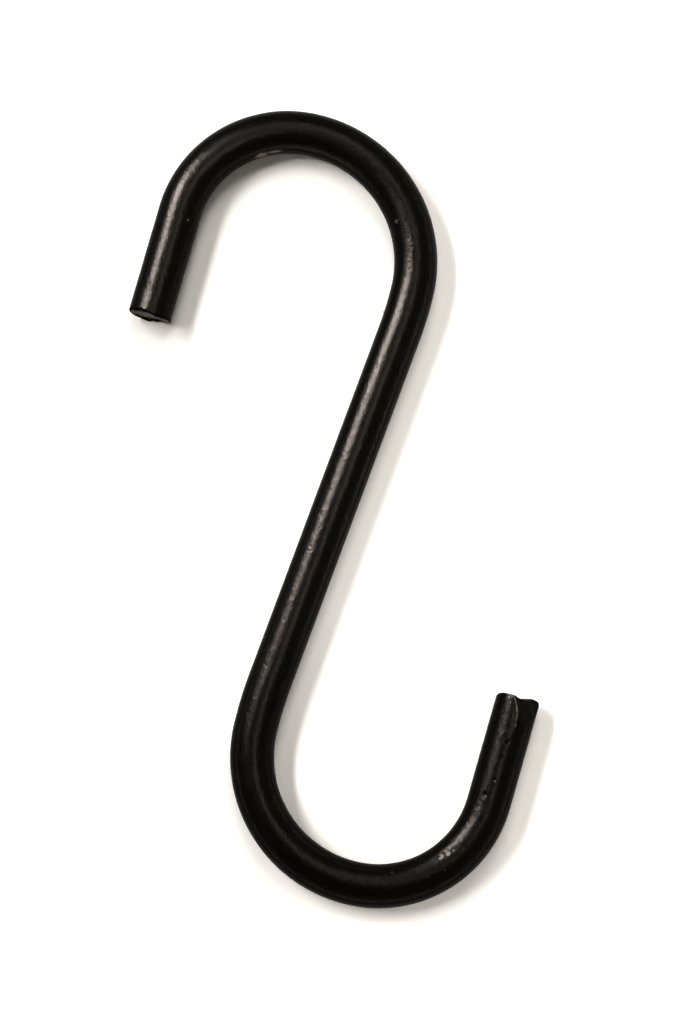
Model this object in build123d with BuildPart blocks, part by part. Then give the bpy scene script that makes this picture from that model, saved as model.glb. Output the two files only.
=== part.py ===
"""S hook: one length of round steel bar, sheared to length and bent cold round formers.

The hook lies flat, as it comes to rest on a table. The shank runs along +Y, the upper hook opens
towards -Y on the -X side and the lower hook towards +Y on the +X side. Lengths are in millimetres.
"""
import os
from math import radians, tan

from build123d import *

# Bar stock
bar_diameter = 6.0

# Shank: the straight middle of the S
shank_length = 51.6

# Each bend starts with an easy run-in, tightens round the crown and tightens again towards its nose,
# where the bar was pulled round the former. Turns are in degrees.
run_in_radius = 53.0
upper_run_in_turn = 6.4
upper_crown_radius = 18.4
upper_crown_turn = 91.2
upper_nose_radius = 15.4
upper_nose_turn = 87.0
lower_run_in_turn = 7.0
lower_crown_radius = 17.45
lower_crown_turn = 93.4
lower_nose_radius = 15.5
lower_nose_turn = 83.7

# Straight legs, from the end of the bend to the sheared end
upper_leg_length = 15.4
lower_leg_length = 14.75

# Sheared ends, a few degrees out of square: the upper one leans back to face up a little, and the lower
# one is longer on its outer side. Both have a slightly rounded rim under the coating.
upper_shear_lean = 2.2
lower_shear_slant = 4.0
rim_radius = 0.25

# Roll-over at the outer corner of the lower end, where the blade went in: an arc across the corner,
# with its ends a rim's radius clear of the bar
rollover_width = 1.1
rollover_length = 1.0
rollover_bulge = 0.3

# Flat that the blade drew down towards the tip of the lower end. It faces up and outwards, and its
# tilt from straight up is in degrees.
flat_length = 5.0
flat_depth = 1.2
flat_tilt = 37.0

# Reach of the cutting shapes past the bar's surface
overrun = 2.0

bar_radius = bar_diameter / 2


def hooked_end(start, heading, run_in_turn, crown_radius, crown_turn, nose_radius, nose_turn, leg_length):
    """Draws one end of the S from the shank outwards, and returns its straight leg."""
    run_in = JernArc(start, heading, run_in_radius, run_in_turn)
    crown = JernArc(run_in @ 1, run_in % 1, crown_radius, crown_turn)
    nose = JernArc(crown @ 1, crown % 1, nose_radius, nose_turn)
    return Line(nose @ 1, nose @ 1 + (nose % 1) * leg_length)


def end_plane(leg):
    """The plane of a leg's end as seen from above: x points away from the shank, y out along the leg."""
    outward = (leg % 1).cross(Vector(0, 0, 1))
    return Plane(origin=leg @ 1, x_dir=outward, z_dir=(0, 0, 1))


# Centreline of the bar, drawn about the middle of the shank
with BuildLine() as centreline:
    shank = Line((0, -shank_length / 2), (0, shank_length / 2))
    upper_leg = hooked_end(
        shank @ 1, shank % 1, upper_run_in_turn, upper_crown_radius, upper_crown_turn,
        upper_nose_radius, upper_nose_turn, upper_leg_length,
    )
    lower_leg = hooked_end(
        shank @ 0, -(shank % 0), lower_run_in_turn, lower_crown_radius, lower_crown_turn,
        lower_nose_radius, lower_nose_turn, lower_leg_length,
    )

# The S is centred over the origin, with the bar resting on z = 0
layout_middle = centreline.line.bounding_box().center()
resting_place = Location((-layout_middle.X, -layout_middle.Y, bar_radius))
bar_path = centreline.line.moved(resting_place)
upper_end = end_plane(upper_leg.moved(resting_place))
lower_end = end_plane(lower_leg.moved(resting_place))

with BuildPart() as hook:
    # The bent bar
    with BuildSketch(Plane(upper_end.origin, x_dir=upper_end.x_dir, z_dir=-upper_end.y_dir)):
        Circle(bar_radius)
    sweep(path=bar_path)

    # Shear cuts: each end gets spare length, which is then cut off where the cut crosses the bar's axis
    upper_facing = upper_end.y_dir.rotate(Axis((0, 0, 0), upper_end.x_dir), upper_shear_lean)
    lower_facing = lower_end.y_dir.rotate(Axis.Z, lower_shear_slant)
    for end, facing in ((upper_end, upper_facing), (lower_end, lower_facing)):
        with BuildSketch(Plane(end.origin, z_dir=end.y_dir)):
            Circle(bar_radius)
        extrude(amount=overrun)
        with BuildSketch(Plane(end.origin, z_dir=facing)):
            Circle(bar_radius + overrun)
        extrude(amount=overrun + bar_diameter, mode=Mode.SUBTRACT)

    # Rounded rims of both ends
    for end in (upper_end, lower_end):
        rim = hook.faces().sort_by_distance(end.origin)[0].edges()
        fillet(rim, radius=rim_radius)

    # Roll-over of the lower end's outer corner, drawn as seen from above
    outer_tip = bar_radius * tan(radians(lower_shear_slant))
    rollover_start = (bar_radius - rollover_width, outer_tip + rim_radius)
    rollover_end = (bar_radius + rim_radius, outer_tip - rollover_length)
    with BuildSketch(lower_end):
        with BuildLine():
            SagittaArc(rollover_start, rollover_end, rollover_bulge)
            Polyline(
                rollover_end,
                (bar_radius + overrun, outer_tip - rollover_length),
                (bar_radius + overrun, outer_tip + overrun),
                (bar_radius - rollover_width, outer_tip + overrun),
                rollover_start,
            )
        make_face()
    extrude(amount=bar_diameter, both=True, mode=Mode.SUBTRACT)

    # Flat drawn down by the blade, cut along a side view of the lower end
    flat_normal = lower_end.z_dir.rotate(Axis((0, 0, 0), lower_end.y_dir), flat_tilt)
    flat_side = Plane(lower_end.origin, x_dir=lower_end.y_dir, z_dir=lower_end.y_dir.cross(flat_normal))
    with BuildSketch(flat_side):
        with BuildLine():
            drawn_down = TangentArc((-flat_length, bar_radius), (0, bar_radius - flat_depth), tangent=(1, 0))
            Polyline(
                drawn_down @ 1,
                (overrun, bar_radius - flat_depth),
                (overrun, bar_radius + overrun),
                (-flat_length, bar_radius + overrun),
                drawn_down @ 0,
            )
        make_face()
    extrude(amount=bar_diameter, both=True, mode=Mode.SUBTRACT)

hook.part.label = "hook"

os.makedirs("parts", exist_ok=True)
export_step(hook.part, "parts/hook.step")
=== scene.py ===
from math import cos, pi, radians, sin, tan

import bpy
import numpy as np
from mathutils import Matrix, Vector


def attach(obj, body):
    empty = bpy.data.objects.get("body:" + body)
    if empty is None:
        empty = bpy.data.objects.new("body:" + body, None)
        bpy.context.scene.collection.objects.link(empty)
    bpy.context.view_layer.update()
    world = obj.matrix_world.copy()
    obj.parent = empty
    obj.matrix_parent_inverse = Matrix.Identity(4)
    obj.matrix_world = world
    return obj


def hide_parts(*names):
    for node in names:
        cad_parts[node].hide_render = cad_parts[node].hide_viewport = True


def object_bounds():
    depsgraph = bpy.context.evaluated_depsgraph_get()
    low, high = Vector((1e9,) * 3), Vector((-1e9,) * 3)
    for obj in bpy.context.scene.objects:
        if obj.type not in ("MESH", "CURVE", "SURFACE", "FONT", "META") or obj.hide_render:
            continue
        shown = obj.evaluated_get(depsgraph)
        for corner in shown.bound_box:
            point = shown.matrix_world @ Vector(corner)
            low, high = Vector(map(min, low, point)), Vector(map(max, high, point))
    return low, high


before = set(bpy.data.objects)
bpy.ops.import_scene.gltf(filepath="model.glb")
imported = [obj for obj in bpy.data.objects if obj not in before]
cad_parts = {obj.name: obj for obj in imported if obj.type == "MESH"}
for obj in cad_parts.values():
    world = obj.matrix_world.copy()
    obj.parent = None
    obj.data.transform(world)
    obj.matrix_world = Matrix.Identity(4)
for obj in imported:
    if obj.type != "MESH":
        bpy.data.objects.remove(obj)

cad_low, cad_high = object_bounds()


# Hook
# One length of 6 mm round mild steel bar, sheared to length and bent cold round two formers into an S.
# It is all one piece, sprayed with a satin black coat after bending, and it lies on its side.
mm = 0.001
bar_radius = 3.0 * mm
shank_length = 51.6 * mm

# Each bend is an easy run-in, the crown and a tighter nose, given as radius and turn in degrees
upper_bends = ((53.0 * mm, 6.4), (18.4 * mm, 91.2), (15.4 * mm, 87.0))
lower_bends = ((53.0 * mm, 7.0), (17.45 * mm, 93.4), (15.5 * mm, 83.7))
upper_leg = 15.4 * mm
lower_leg = 14.75 * mm

# Fineness of the mesh: sides of the bar, and the spacing of its rings along the bar and at its ends
bar_sides = 144
ring_spacing = 0.45 * mm
fine_spacing = 0.1 * mm
upper_fine_length = 1.9 * mm
lower_fine_length = 6.0 * mm
merge_distance = 0.001 * mm

# The coat rounds the rims of the sheared ends, and the rim is drawn as one step of the bar before that
rim_radius = 0.25 * mm
rim_step = 0.3 * mm
rim_segments = 4


def points_of(piece):
    """The vertices of a piece as an array, one row each."""
    bpy.ops.object.mode_set(mode="OBJECT")
    flat = np.empty(len(piece.data.vertices) * 3)
    piece.data.vertices.foreach_get("co", flat)
    return flat.reshape(-1, 3)


def choose(piece, wanted):
    """Selects, in edit mode, the vertices of a piece that are wanted, and nothing else."""
    bpy.ops.object.mode_set(mode="OBJECT")
    mesh = piece.data
    mesh.polygons.foreach_set("select", np.zeros(len(mesh.polygons), bool))
    mesh.edges.foreach_set("select", np.zeros(len(mesh.edges), bool))
    mesh.vertices.foreach_set("select", np.asarray(wanted, bool))
    bpy.ops.object.mode_set(mode="EDIT")


# The bar's stretches as they are drawn: side, start, heading, run up to there, length and bend radius
stretches = []


def draw_end(side, bends, leg, fine_length):
    """Draws one end of the S from the shank's middle, and returns the heading of its tip."""
    place = Vector((0, 0, bar_radius))
    heading = Vector((0, side, 0))
    run = 0.0
    route = [(shank_length / 2, 0, ring_spacing)]
    route += [(radius * radians(turn), radius, ring_spacing) for radius, turn in bends]
    route += [
        (leg - fine_length, 0, ring_spacing),
        (fine_length - rim_step, 0, fine_spacing),
        (rim_step, 0, rim_step),
    ]
    for length, radius, spacing in route:
        stretches.append((side, place, heading, run, length, radius))
        steps = max(1, round(length / spacing))
        if radius:
            turn = Matrix.Rotation(length / radius, 3, "Z")
            centre = place + Vector((-heading.y, heading.x, 0)) * radius
            bpy.ops.mesh.spin(steps=steps, angle=-length / radius, center=centre, axis=(0, 0, 1))
            place = centre + turn @ (place - centre)
            heading = turn @ heading
        else:
            bpy.ops.mesh.extrude_repeat(steps=steps, offset=heading * (length / steps))
            place = place + heading * length
        run += length
    return heading


def cap_end(piece):
    """Closes the selected ring, rounds its rim, and fills the face with a fine grid for its relief."""
    bpy.ops.mesh.edge_face_add()
    bpy.ops.mesh.region_to_loop()
    bpy.ops.mesh.bevel(offset=rim_radius, segments=rim_segments, affect="EDGES")
    bpy.ops.object.mode_set(mode="OBJECT")
    face = max(piece.data.polygons, key=lambda polygon: len(polygon.vertices))
    ring = np.zeros(len(piece.data.vertices), bool)
    ring[list(face.vertices)] = True
    choose(piece, ring)
    bpy.ops.mesh.delete(type="ONLY_FACE")
    choose(piece, ring)
    bpy.ops.mesh.fill_grid(span=bar_sides // 4)


# The bar starts as a ring at the shank's middle, and is drawn from there to its upper and its lower end
bpy.ops.object.select_all(action="DESELECT")
bpy.ops.mesh.primitive_circle_add(
    vertices=bar_sides, radius=bar_radius, location=(0, 0, bar_radius), rotation=(pi / 2, 0, 0)
)
hook = bpy.context.object
hook.name = "coated_hook"
bpy.ops.object.transform_apply(location=True, rotation=True, scale=True)
bpy.ops.object.mode_set(mode="EDIT")
upper_heading = draw_end(1, upper_bends, upper_leg, upper_fine_length)
cap_end(hook)
choose(hook, np.abs(points_of(hook)[:, 1]) < ring_spacing / 4)
lower_heading = draw_end(-1, lower_bends, lower_leg, lower_fine_length)
cap_end(hook)

bpy.ops.mesh.select_all(action="SELECT")
bpy.ops.mesh.remove_doubles(threshold=merge_distance)
bpy.ops.mesh.normals_make_consistent(inside=False)


def unrolled(points):
    """Each point on the bar before it was bent: across it, above its axis, and along it from the shank's
    middle. The second array gives the nearest point of the bar's axis."""
    laid = np.empty_like(points)
    axis = np.empty_like(points)
    nearest = np.full(len(points), np.inf)
    for side, place, heading, run, length, radius in stretches:
        ahead = np.array(heading)
        right = np.array((heading.y, -heading.x, 0))
        offset = points - np.array(place)
        if radius:
            from_centre = offset + right * radius
            angle = np.arctan2(from_centre @ ahead, from_centre @ right).clip(0, length / radius)
            along = angle * radius
            outward = np.outer(np.cos(angle), right) + np.outer(np.sin(angle), ahead)
            on_axis = np.array(place) + (outward - right) * radius
        else:
            along = (offset @ ahead).clip(0, length)
            outward = np.tile(right, (len(points), 1))
            on_axis = np.array(place) + np.outer(along, ahead)
        across = ((points - on_axis) * outward).sum(1)
        gap = np.linalg.norm((points - on_axis)[:, :2], axis=1)
        closer = gap < nearest
        nearest[closer] = gap[closer]
        straightened = np.column_stack((side * across, points[:, 2] - bar_radius, side * (run + along)))
        laid[closer] = straightened[closer]
        axis[closer] = on_axis[closer]
    return laid, axis


# Marks in the coat, each by its run along the bar from the shank's middle and its turn in degrees from the
# top, with sizes in mm. Pits are given as run, turn, width and depth. The last stands out, as a whisker of
# the coat. A pit has no shine over this share of its width.
pits = (
    (-91.86, -2.5, 0.3, 0.2),
    (-89.56, 1.4, 0.26, 0.16),
    (-86.29, 3.8, 0.24, 0.1),
    (-84.28, 17.2, 0.26, 0.16),
    (42.3, -37.0, 0.38, 0.2),
    (-65.2, 30.0, 0.2, 0.06),
    (100.1, 187.0, 0.4, 0.15),
    (27.9, -92.0, 0.1, -0.15),
)
pit_shade = 0.9

# Chips down to bare steel, as run, turn, length and width
chips = (
    (-73.05, 19.5, 1.1, 0.75),
    (-74.1, 15.6, 0.85, 0.7),
    (-75.0, 12.5, 0.7, 0.4),
    (-97.7, 25.6, 0.4, 0.3),
    (42.05, -33.6, 0.2, 0.16),
    (42.45, -38.5, 0.2, 0.16),
    (41.75, -37.0, 0.2, 0.16),
)
chip_depth = 0.03

# Scuffs, where the coat is rubbed grey, given as chips are: two long ones inside the upper bend, and four
# small ones
scuffs = (
    (68.9, -77.0, 2.4, 1.2),
    (66.6, -72.5, 2.6, 0.6),
    (-83.84, 13.4, 0.28, 0.22),
    (85.79, -32.7, 0.22, 0.18),
    (-72.37, -12.8, 0.16, 0.13),
    (-70.0, -7.3, 0.16, 0.13),
)

# A shallow dent near the upper end, given as pits are
dents = ((96.9, 17.0, 1.2, 0.03),)

# The coat of the lower hook, where things hang, is rubbed duller from some way down the shank
hanging_dullness = 0.3
dulling_start = 10.0 * mm
dulling_length = 30.0 * mm

# Drawn-down flat of the lower end: it faces up and outwards, starts over a share of its length, and deepens
# along an arc towards the tip
flat_length = 5.0 * mm
flat_depth = 1.2 * mm
flat_tilt = radians(37.0)
flat_arc = (flat_length**2 + flat_depth**2) / (2 * flat_depth)
flat_start = 0.1
crease_softness = 0.03 * mm

# Ridge along the flat's crease, on the bar's side alone: it stands up from a bed, fades away from the tip,
# and its coat is painted grey, partly as rubbed wear and partly as a painted highlight along its crest
ridge_height = 0.08 * mm
ridge_width = 0.2 * mm
ridge_bed = 0.45 * mm
ridge_end = 4.8 * mm
ridge_fading = 0.3
ridge_turn = radians(12.5)
ridge_sweep = radians(28.6)
ridge_easing = 1.3 * mm
ridge_seat = 0.9 * bar_radius
ridge_rub_and_highlight = 0.5

upper_run = max(run + length for side, _, _, run, length, _ in stretches if side > 0)
lower_run = max(run + length for side, _, _, run, length, _ in stretches if side < 0)


def swell(places, middle, width):
    """A smooth bump of height 1, which falls off over the width."""
    return np.exp(-(((places - middle) / width) ** 2))


def line_of(swells, places, base=0.0):
    """A wavering line: its base, and swells given as height, middle and width, all in mm."""
    line = np.full(len(places), base)
    for rise, middle, width in swells:
        line = line + rise * swell(places, middle * mm, width * mm)
    return line


def flat_limit(from_tip):
    """How far the drawn-down flat lies from the bar's axis, at a place along the lower leg from its tip."""
    along = (from_tip + flat_length).clip(0, flat_length)
    return bar_radius - (flat_arc - np.sqrt(flat_arc**2 - along**2))


def from_ridge(outward, height, from_tip):
    """Distance round the bar from the ridge, which sweeps in over the top of the bar towards the tip."""
    turn = ridge_turn - ridge_sweep * np.exp(np.minimum(from_tip, 0) / ridge_easing)
    return bar_radius * (np.arctan2(outward, height) - turn)


# The mesh is made finer round the marks and along the crease, and its new points are set on the round again
mark_reach = 0.7 * mm
finer_cuts = 2
side_start = 0.999 * bar_radius
laid, axis = unrolled(points_of(hook))
round_place = bar_radius * np.arctan2(laid[:, 0], laid[:, 1])
finer = np.zeros(len(laid), bool)
for run, turn, length, _ in pits + chips + scuffs:
    along = np.abs(laid[:, 2] - run * mm)
    around = np.abs(round_place - bar_radius * radians(turn))
    finer |= (along < length * mm / 2 + mark_reach) & (around < mark_reach)
from_tip = -laid[:, 2] - lower_run
near_ridge = np.abs(from_ridge(-laid[:, 0], laid[:, 1], from_tip)) < ridge_bed
finer |= (from_tip > -flat_length) & near_ridge
choose(hook, finer)
bpy.ops.mesh.subdivide(number_cuts=finer_cuts)

points = points_of(hook)
laid, axis = unrolled(points)
spread = np.hypot(laid[:, 0], laid[:, 1])
on_side = spread > side_start
points[on_side] = axis[on_side] + (points - axis)[on_side] * (bar_radius / spread[on_side])[:, None]
laid, axis = unrolled(points)

# Upper sheared end: it leans back a little, and its edges over and under the face waver
upper_lean = radians(2.2)
over_edge_base = 0.06
over_edge = ((0.4, -1.3, 1.1), (-0.2, 1.15, 0.2))
under_edge = ((0.07, 0.3, 0.7), (-0.3, -1.5, 0.8))
outward, height = laid[:, 0], laid[:, 1]
ease = ((laid[:, 2] - upper_run + upper_fine_length) / upper_fine_length).clip(0, 1)
topward = (height / bar_radius).clip(0, 1)
downward = (-height / bar_radius).clip(0, 1)
waver = topward * line_of(over_edge, outward, over_edge_base) + downward * line_of(under_edge, outward)
slide = ease * (-height * tan(upper_lean) + waver * mm)
points += np.outer(slide, np.array(upper_heading))

# Lower sheared end: longer on its outer side, with a rolled-over corner beside a raised shoulder, and an edge
# that tore at the crease
lower_slant = radians(4.0)
corner_radius = 0.5 * mm
torn_edge = ((0.46, -2.6, 1.2), (0.08, -0.8, 0.7), (-0.2, 0.6, 0.7))
shoulder = ((0.22, 2.4, 0.75),)
outward, height = -laid[:, 0], laid[:, 1]
ease = ((-laid[:, 2] - lower_run + lower_fine_length) / lower_fine_length).clip(0, 1)
topward = (height / bar_radius).clip(0, 1)
into_corner = (outward - bar_radius + corner_radius).clip(0, corner_radius)
corner = corner_radius - np.sqrt(corner_radius**2 - into_corner**2)
waver = topward * line_of(torn_edge, outward) + line_of(shoulder, outward)
slide = ease * (outward * tan(lower_slant) + waver * mm - corner)

# The flat: what stands above it is pressed down to it, and the metal that it pushed aside stands up along its
# crease
from_tip = -laid[:, 2] - lower_run
in_flat = from_tip > -flat_length
outward_way = np.cross(np.array(lower_heading), (0, 0, 1))
flat_normal = outward_way * sin(flat_tilt) + np.array((0, 0, cos(flat_tilt)))
above = height * cos(flat_tilt) + outward * sin(flat_tilt)
limit = flat_limit(from_tip)
pressed = limit - crease_softness * np.logaddexp(0, (limit - above) / crease_softness)
started = ((from_tip + flat_length) / flat_length).clip(0, flat_start)
press = np.where(in_flat, (pressed - above) * started / flat_start, 0)
beside = from_ridge(outward, height, from_tip)
ridge = np.where(in_flat, ((from_tip + ridge_end) / ridge_end).clip(0, 1) ** ridge_fading, 0)
ridge *= spread > ridge_seat
# Grey along the ridge's crest: part rubbed wear, part painted highlight
ridge_rub_and_painted_highlight = ridge_rub_and_highlight * ridge * swell(beside, 0, ridge_width)
ridge *= ridge_height * (swell(beside, 0, ridge_width) - swell(beside, 0, ridge_bed))
points += np.outer(slide, np.array(lower_heading))
points += np.outer(press + ridge, flat_normal)
hook.data.vertices.foreach_set("co", points.ravel())

# Where each point lay on the straight bar, for patterns that run along it, and where the coat is worn:
# chipped to bare steel, rubbed grey, or dull. The rubbed grey also paints a reflection on the sheared faces
# and a highlight on the ridge, and the dull paints shade on the rims of the ends.
straight_bar = hook.data.attributes.new("straight_bar", "FLOAT_VECTOR", "POINT")
straight_bar.data.foreach_set("vector", laid.ravel())
round_place = bar_radius * np.arctan2(laid[:, 0], laid[:, 1])
on_face = spread < bar_radius - rim_radius
shaded_pits = tuple((run, turn, pit_shade * width, pit_shade * width) for run, turn, width, _ in pits)
wear_and_painted_light = {}
for name, marks in (("bare_steel", chips), ("rubbed_coat_and_painted_reflection", scuffs), ("dull_coat_and_painted_shade", shaded_pits)):
    worn = np.zeros(len(laid))
    for run, turn, length, width in marks:
        along = (laid[:, 2] - run * mm) / (length * mm / 2)
        around = (round_place - bar_radius * radians(turn)) / (width * mm / 2)
        worn = np.maximum(worn, np.exp(-(along**2 + around**2)))
    worn[on_face] = 0
    wear_and_painted_light[name] = worn

# The sheared faces are painted grey as a painted reflection of the sheet, along a wavering line, with painted
# shade on one side and along their bottom edge. The ridge is painted grey too, partly rubbed wear and partly
# a painted highlight along its crest.
face_painted_reflection = 0.85
face_reflection_reach = 1.8 * mm
face_reflection_line = ((0.45, -0.4, 1.2), (-0.9, -2.4, 0.8))
face_painted_shade_side = ((0.3, 2.0, 1.0),)
reflection_middle = line_of(face_reflection_line, laid[:, 0]) * mm
reflection_strength = face_painted_reflection * (1 - line_of(face_painted_shade_side, laid[:, 0]))
painted_face_reflection = reflection_strength * swell(laid[:, 1], reflection_middle, face_reflection_reach)
wear_and_painted_light["rubbed_coat_and_painted_reflection"] = np.maximum(wear_and_painted_light["rubbed_coat_and_painted_reflection"], np.where(on_face, painted_face_reflection, ridge_rub_and_painted_highlight))

# The faces, the rim of the upper one and the outer side of the lower one's rim have no shine. On the rims
# this is painted shade, a dark line along the edge; on the faces it leaves only their painted reflection.
upper_rim_length = 0.28 * mm
lower_rim_start = 0.3 * mm
hanging = hanging_dullness * ((-laid[:, 2] - dulling_start) / dulling_length).clip(0, 1)
upper_rim_shade = laid[:, 2] > upper_run - upper_rim_length
lower_rim_shade = (laid[:, 2] < rim_radius - lower_run) & (laid[:, 0] < lower_rim_start)
wear_and_painted_light["dull_coat_and_painted_shade"] = np.maximum(wear_and_painted_light["dull_coat_and_painted_shade"], hanging)
wear_and_painted_light["dull_coat_and_painted_shade"][on_face | upper_rim_shade | lower_rim_shade] = 1
for name, worn in wear_and_painted_light.items():
    hook.data.attributes.new(name, "FLOAT", "POINT").data.foreach_set("value", worn)

# Pits, chips and the dent are pushed in from the surface
chip_dents = tuple((run, turn, (length + width) / 2, chip_depth) for run, turn, length, width in chips)
for run, turn, width, depth in pits + chip_dents + dents:
    goal = np.array((bar_radius * sin(radians(turn)), bar_radius * cos(radians(turn)), run * mm))
    nearest = np.linalg.norm(laid - goal, axis=1).argmin()
    inward = -hook.data.vertices[int(nearest)].normal
    choose(hook, np.arange(len(laid)) == nearest)
    bpy.ops.transform.translate(
        value=inward * depth * mm,
        use_proportional_edit=True,
        proportional_size=width * mm,
        proportional_edit_falloff="SPHERE",
    )
    bpy.ops.object.mode_set(mode="OBJECT")

# Fracture relief of the sheared faces, and the slow waver of a sprayed coat all over, both cut inwards
faces = hook.vertex_groups.new(name="sheared_faces")
faces.add([int(i) for i in np.flatnonzero(on_face)], 1.0, "REPLACE")
for name, size, depth, group in (
    ("fracture", 0.6 * mm, 0.22 * mm, "sheared_faces"),
    ("coat_waver", 1.6 * mm, 0.015 * mm, ""),
):
    relief = bpy.data.textures.new(name, "CLOUDS")
    relief.noise_scale = size
    displace = hook.modifiers.new(name, "DISPLACE")
    displace.texture = relief
    displace.texture_coords = "LOCAL"
    displace.strength = depth
    displace.mid_level = 1.0
    displace.vertex_group = group
    bpy.ops.object.modifier_apply(modifier=name)

# The hook is set down where the solid lies
points = points_of(hook)
shift = (np.array(cad_low) + np.array(cad_high) - points.min(0) - points.max(0)) / 2
bpy.ops.object.mode_set(mode="EDIT")
bpy.ops.mesh.select_all(action="SELECT")
bpy.ops.transform.translate(value=(shift[0], shift[1], 0))
bpy.ops.mesh.normals_make_consistent(inside=False)
bpy.ops.object.mode_set(mode="OBJECT")
bpy.ops.object.shade_smooth()


def linear(hex_colour):
    """A colour written as sRGB hex, in the linear values that sockets take."""
    channels = [int(hex_colour[i:i + 2], 16) / 255 for i in (1, 3, 5)]
    return [c / 12.92 if c <= 0.04045 else ((c + 0.055) / 1.055) ** 2.4 for c in channels] + [1.0]


def add_node(tree, kind, inputs=None, **settings):
    """Adds a node. Settings are its own options, and each input is a value or another node's output."""
    node = tree.nodes.new(kind)
    for name, value in settings.items():
        setattr(node, name, value)
    for socket, value in (inputs or {}).items():
        if isinstance(value, bpy.types.NodeSocket):
            tree.links.new(value, node.inputs[socket])
        else:
            node.inputs[socket].default_value = value
    return node


# Satin black coat, sprayed on and baked: a thin skin with a fine grain that breaks up its highlights, and
# dull where it is seen edge on. Faint streaks along the drawn bar show through it, and bare steel where it
# chipped.
coat_black = linear("#030302")
coat_grain = linear("#070605")
# Rubbed grey: real rubbed coat in the scuffs, painted reflection on the sheared faces, and partly a painted
# highlight on the ridge
rubbed_and_reflection_grey = linear("#7a746c")
bare_grey = linear("#8b837a")
sheen_tint = linear("#fff1dd")
coat_ior = 1.4
grain_size = 0.42 * mm
grain_depth = 0.04 * mm
peel_size = 1.1 * mm
peel_depth = 0.03 * mm
streak_width = 0.5 * mm
streak_stretch = 0.15

# The roughness between the low and the high of the streaks, and the shine between face on and edge on, where
# Layer Weight's Facing rises
streak_low, streak_high = 0.3, 0.7
smooth_coat, rough_coat = 0.27, 0.31
face_on, turned_away = 0.12, 0.36
full_shine, edge_shine = 0.5, 0.02

# How ragged the grain makes each kind of worn place, the rubbed grey with its painted reflection and
# highlight among them, and the wear at which it starts and is full
worn_and_painted_places = (("bare_steel", 1.5, 1.25, 1.55), ("rubbed_coat_and_painted_reflection", 0.6, 0.55, 1.05))

coat = bpy.data.materials.new("satin_black_coat")
coat.use_nodes = True
nodes = coat.node_tree
nodes.nodes.clear()
on_bar = add_node(nodes, "ShaderNodeAttribute", attribute_name="straight_bar").outputs["Vector"]
grain = add_node(nodes, "ShaderNodeTexNoise", {"Vector": on_bar, "Scale": 1 / grain_size, "Detail": 1.0})
peel = add_node(nodes, "ShaderNodeTexNoise", {"Vector": on_bar, "Scale": 1 / peel_size, "Detail": 1.0})
drawn = add_node(nodes, "ShaderNodeMapping", {"Vector": on_bar, "Scale": (1, 1, streak_stretch)})
streak = add_node(
    nodes, "ShaderNodeTexNoise", {"Vector": drawn.outputs["Vector"], "Scale": 1 / streak_width, "Detail": 2.0}
)
shares = {}
for name, raggedness, start, full in worn_and_painted_places:
    mark = add_node(nodes, "ShaderNodeAttribute", attribute_name=name)
    ragged = add_node(
        nodes,
        "ShaderNodeMath",
        {0: grain.outputs["Fac"], 1: raggedness, 2: mark.outputs["Fac"]},
        operation="MULTIPLY_ADD",
    )
    shares[name] = add_node(
        nodes, "ShaderNodeMapRange", {"Value": ragged.outputs["Value"], "From Min": start, "From Max": full}
    ).outputs["Result"]
black = add_node(
    nodes,
    "ShaderNodeMix",
    {"Factor": grain.outputs["Fac"], "A": coat_black, "B": coat_grain},
    data_type="RGBA",
)
# Mixes in the rubbed grey, which also paints the faces' reflection and the ridge's highlight
rubbed_and_reflection_mix = add_node(
    nodes,
    "ShaderNodeMix",
    {"Factor": shares["rubbed_coat_and_painted_reflection"], "A": black.outputs[2], "B": rubbed_and_reflection_grey},
    data_type="RGBA",
)
colour = add_node(
    nodes,
    "ShaderNodeMix",
    {"Factor": shares["bare_steel"], "A": rubbed_and_reflection_mix.outputs[2], "B": bare_grey},
    data_type="RGBA",
)
gloss = add_node(
    nodes,
    "ShaderNodeMapRange",
    {
        "Value": streak.outputs["Fac"],
        "From Min": streak_low,
        "From Max": streak_high,
        "To Min": smooth_coat,
        "To Max": rough_coat,
    },
)
edge_on = add_node(nodes, "ShaderNodeLayerWeight")
shine = add_node(
    nodes,
    "ShaderNodeMapRange",
    {
        "Value": edge_on.outputs["Facing"],
        "From Min": face_on,
        "From Max": turned_away,
        "To Min": full_shine,
        "To Max": edge_shine,
    },
)
# No shine where the coat is dull; on the rims of the ends this is painted shade
dulled_and_painted_shade = add_node(nodes, "ShaderNodeAttribute", attribute_name="dull_coat_and_painted_shade")
kept = add_node(nodes, "ShaderNodeMath", {0: 1.0, 1: dulled_and_painted_shade.outputs["Fac"]}, operation="SUBTRACT")
kept_shine = add_node(
    nodes, "ShaderNodeMath", {0: shine.outputs["Result"], 1: kept.outputs["Value"]}, operation="MULTIPLY"
)
peel_bump = add_node(
    nodes, "ShaderNodeBump", {"Strength": 1.0, "Distance": peel_depth, "Height": peel.outputs["Fac"]}
)
grain_bump = add_node(
    nodes,
    "ShaderNodeBump",
    {
        "Strength": 1.0,
        "Distance": grain_depth,
        "Height": grain.outputs["Fac"],
        "Normal": peel_bump.outputs["Normal"],
    },
)
finish = add_node(
    nodes,
    "ShaderNodeBsdfPrincipled",
    {
        "Base Color": colour.outputs[2],
        "Roughness": gloss.outputs["Result"],
        "IOR": coat_ior,
        "Specular IOR Level": kept_shine.outputs["Value"],
        "Specular Tint": sheen_tint,
        "Normal": grain_bump.outputs["Normal"],
    },
)
add_node(nodes, "ShaderNodeOutputMaterial", {"Surface": finish.outputs["BSDF"]})
hook.data.materials.clear()
hook.data.materials.append(coat)
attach(hook, "root")
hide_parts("hook")


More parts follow.
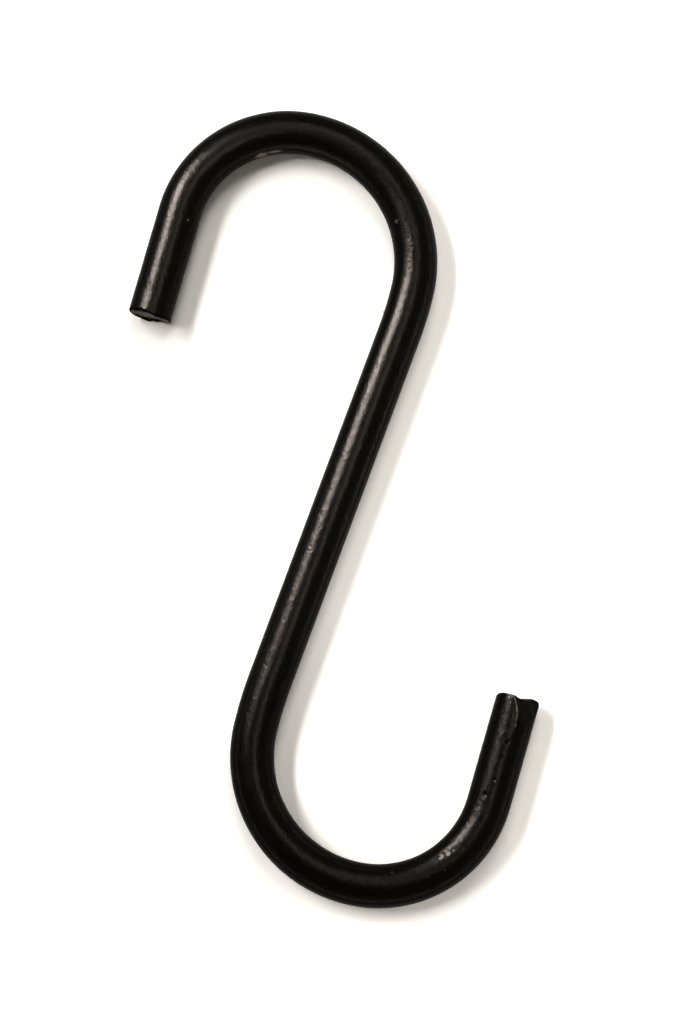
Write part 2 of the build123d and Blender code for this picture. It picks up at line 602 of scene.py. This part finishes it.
# Floor
# A plain sheet of matt white paper that the hook lies on. The camera sees it brighter than it is, and so do
# the coat's reflections, so that it burns out to white and keeps the hook's shadow, a little lifted.
floor_size = 6.0
burn_out = 1.39
shadow_lift = 0.05
paper_white = linear("#f6f6f5")
lift_tint = linear("#fff3e2")
bpy.ops.object.select_all(action="DESELECT")
bpy.ops.mesh.primitive_plane_add(size=floor_size, location=(0, 0, 0))
floor = bpy.context.object
floor.name = "floor"
paper = bpy.data.materials.new("white_paper")
paper.use_nodes = True
nodes = paper.node_tree
nodes.nodes.clear()
path = add_node(nodes, "ShaderNodeLightPath")
seen = path.outputs["Is Camera Ray"]
for kind in ("Is Glossy Ray", "Is Transmission Ray"):
    either = add_node(nodes, "ShaderNodeMath", {0: seen, 1: path.outputs[kind]}, operation="MAXIMUM")
    seen = either.outputs["Value"]
tone = add_node(
    nodes,
    "ShaderNodeMix",
    {"Factor": seen, "A": paper_white, "B": [burn_out * channel for channel in paper_white]},
    data_type="RGBA",
)
lifted = add_node(nodes, "ShaderNodeMath", {0: seen, 1: shadow_lift}, operation="MULTIPLY")
sheet = add_node(
    nodes,
    "ShaderNodeBsdfPrincipled",
    {
        "Base Color": tone.outputs[2],
        "Roughness": 1.0,
        "Specular IOR Level": 0.0,
        "Emission Color": lift_tint,
        "Emission Strength": lifted.outputs["Value"],
    },
)
add_node(nodes, "ShaderNodeOutputMaterial", {"Surface": sheet.outputs["BSDF"]})
floor.data.materials.append(paper)


# Camera
# It looks down on the hook from nearly overhead and some way off, through a long lens, turned so that the
# shank leans to the right.
camera_roll = radians(20.18)
camera_tilt = radians(9.0)
camera_distance = 546.9 * mm
camera_aim = Vector((1.526, -0.643, 3.0)) * mm
long_side_pixels = 1024
focal_pixels = 4000
turned = Matrix.Rotation(camera_roll, 3, "Z") @ Matrix.Rotation(camera_tilt, 3, "X")
bpy.ops.object.camera_add(
    location=camera_aim + turned @ Vector((0, 0, camera_distance)), rotation=turned.to_euler()
)
camera = bpy.context.object
camera.data.sensor_width = 36.0
camera.data.lens = camera.data.sensor_width * focal_pixels / long_side_pixels
camera.data.clip_start = 0.01
bpy.context.scene.camera = camera


# Light
# A strip lamp high on the left throws the shadow. A soft box up the picture, a low card on the right and a
# dim panel overhead fill it. What the coat mirrors is a window on the left and two strips of the ceiling, in
# a dim room that is white where the camera looks past the sheet.
room_light = 0.02
background_white = 1.0
from_picture = Matrix.Rotation(camera_roll, 3, "Z")


def add_lamp(name, place, shining, along, width, height, brightness, colour):
    """Adds a panel that shines one way, with its width along another way."""
    back = -Vector(shining).normalized()
    side = Vector(along)
    side = (side - back * side.dot(back)).normalized()
    facing = from_picture @ Matrix((side, back.cross(side), back)).transposed()
    bpy.ops.object.light_add(type="AREA", location=from_picture @ Vector(place), rotation=facing.to_euler())
    lamp = bpy.context.object
    lamp.name = name
    lamp.data.shape = "RECTANGLE"
    lamp.data.size = width
    lamp.data.size_y = height
    lamp.data.energy = brightness * pi * width * height
    lamp.data.color = linear(colour)[:3]
    lamp.visible_camera = False
    return lamp


# Places and directions are as the picture shows them: to its right, up it and off the floor, in metres
lighting = (
    ("key_strip", (-0.85, 0.4, 1.2), (0.85, -0.4, -1.2), (0, 1, 0), 0.9, 0.19, 32.5, "#fffaf5"),
    ("soft_box", (0.06, 0.65, 1.1), (-0.06, -0.65, -1.1), (1, 0, 0), 0.4, 0.75, 5.4, "#fff9f2"),
    ("fill_panel", (0, 0.2, 1.5), (0, 0, -1), (1, 0, 0), 3.0, 3.0, 0.083, "#fff9f2"),
    ("bounce_card", (0.8, 0, 0.09), (-1, 0, 0), (0, 1, 0), 0.9, 0.12, 46.0, "#fff9f2"),
)
mirrored = (
    ("window", (-0.241, 0.22, 0.347), (1, 0, 0), (0, 1, 0), 0.073, 0.326, 52.0, "#f7f6ff"),
    ("ceiling_strip", (0.11, 0.03, 0.5), (0, 0, -1), (1, 0, 0), 0.1, 0.19, 2.5, "#ffffff"),
    ("far_strip", (0.13, 0.62, 1.0), (0, 0, -1), (1, 0, 0), 0.2, 0.6, 1.6, "#ffffff"),
)
for panel in lighting:
    add_lamp(*panel).visible_glossy = False
for panel in mirrored:
    add_lamp(*panel).visible_diffuse = False

world = bpy.data.worlds.new("room")
bpy.context.scene.world = world
world.use_nodes = True
nodes = world.node_tree
nodes.nodes.clear()
path = add_node(nodes, "ShaderNodeLightPath")
brightness = add_node(
    nodes,
    "ShaderNodeMapRange",
    {"Value": path.outputs["Is Camera Ray"], "To Min": room_light, "To Max": background_white},
)
room = add_node(
    nodes,
    "ShaderNodeBackground",
    {"Color": linear("#ffffff"), "Strength": brightness.outputs["Result"]},
)
add_node(nodes, "ShaderNodeOutputWorld", {"Surface": room.outputs["Background"]})

bpy.context.scene.view_settings.view_transform = "Standard"
